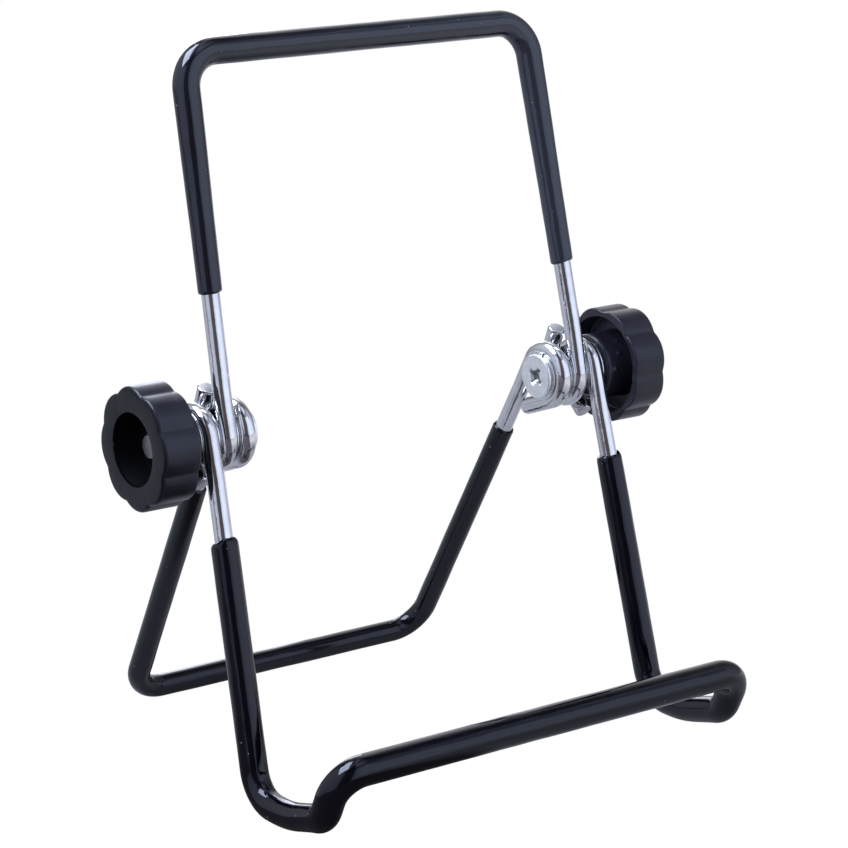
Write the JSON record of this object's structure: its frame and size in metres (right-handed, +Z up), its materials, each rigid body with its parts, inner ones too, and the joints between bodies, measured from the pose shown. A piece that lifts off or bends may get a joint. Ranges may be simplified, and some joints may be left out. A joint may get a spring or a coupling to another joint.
{
  "type": "phone stand",
  "caption": "Folding stand of bent, vinyl-dipped wire: a cradle with a front lip, a leaning back rest and a rear leg on a shared hinge line, clamped by lobed knobs.",
  "frame": {"origin": "on the floor, in the middle of the stand's footprint", "axes": "+Z up, +Y from the front lip towards the rear leg, +X to the right of someone facing the cradle"},
  "size_m": [0.1354, 0.1094, 0.1587],
  "materials": {
    "vinyl": "thick dipped vinyl, near-black, glossy, with soft ripples and fine pits",
    "wire_steel": "bright plated steel wire, mirror-like, with faint drawing lines along it",
    "screw_steel": "bright zinc plate, satin",
    "washer_steel": "bright zinc plate, lightly scratched by turning",
    "knob_plastic": "black moulded plastic, satin, fine grain",
    "insert_brass": "turned brass, plain"
  },
  "bodies": {
    "lower_frame": {"lower_frame_wire": "wire_steel", "lower_frame_coating": "vinyl", "right_screw": "screw_steel", "right_lock_washer": "washer_steel", "right_inner_washer": "washer_steel", "right_outer_washer": "washer_steel", "left_screw": "screw_steel", "left_lock_washer": "washer_steel", "left_inner_washer": "washer_steel", "left_outer_washer": "washer_steel"},
    "upper_frame": {"upper_frame_wire": "wire_steel", "upper_frame_coating": "vinyl"},
    "rear_leg": {"rear_leg_wire": "wire_steel", "rear_leg_coating": "vinyl"},
    "right_knob_travel": {"right_knob_washer": "washer_steel"},
    "right_knob": {"right_knob": "knob_plastic", "right_knob_insert": "insert_brass"},
    "left_knob_travel": {"left_knob_washer": "washer_steel"},
    "left_knob": {"left_knob": "knob_plastic", "left_knob_insert": "insert_brass"}
  },
  "joints": [
    {"name": "upper_frame_tilt", "type": "hinge", "parent": "lower_frame", "child": "upper_frame", "pos_m": [0, 0.00403, 0.0759], "axis": [1, 0, 0], "range_deg": [-75, 140]},
    {"name": "rear_leg_fold", "type": "hinge", "parent": "lower_frame", "child": "rear_leg", "pos_m": [0, 0.00403, 0.0759], "axis": [-1, 0, 0], "range_deg": [-45, 44]},
    {"name": "right_knob_backs_off", "type": "slide", "parent": "lower_frame", "child": "right_knob_travel", "axis": [1, 0, 0], "range_m": [0, 0.003]},
    {"name": "right_knob_turn", "type": "hinge", "parent": "right_knob_travel", "child": "right_knob", "pos_m": [0.0613, 0.00403, 0.0759], "axis": [1, 0, 0], "range_deg": [0, 1080]},
    {"name": "left_knob_backs_off", "type": "slide", "parent": "lower_frame", "child": "left_knob_travel", "axis": [-1, 0, 0], "range_m": [0, 0.003]},
    {"name": "left_knob_turn", "type": "hinge", "parent": "left_knob_travel", "child": "left_knob", "pos_m": [-0.0613, 0.00403, 0.0759], "axis": [-1, 0, 0], "range_deg": [0, 1080]}
  ],
  "couplings": [
    {"joint": "right_knob_backs_off", "follows": "right_knob_turn", "m_per_rad": 0.00015915},
    {"joint": "left_knob_backs_off", "follows": "left_knob_turn", "m_per_rad": 0.00015915}
  ]
}
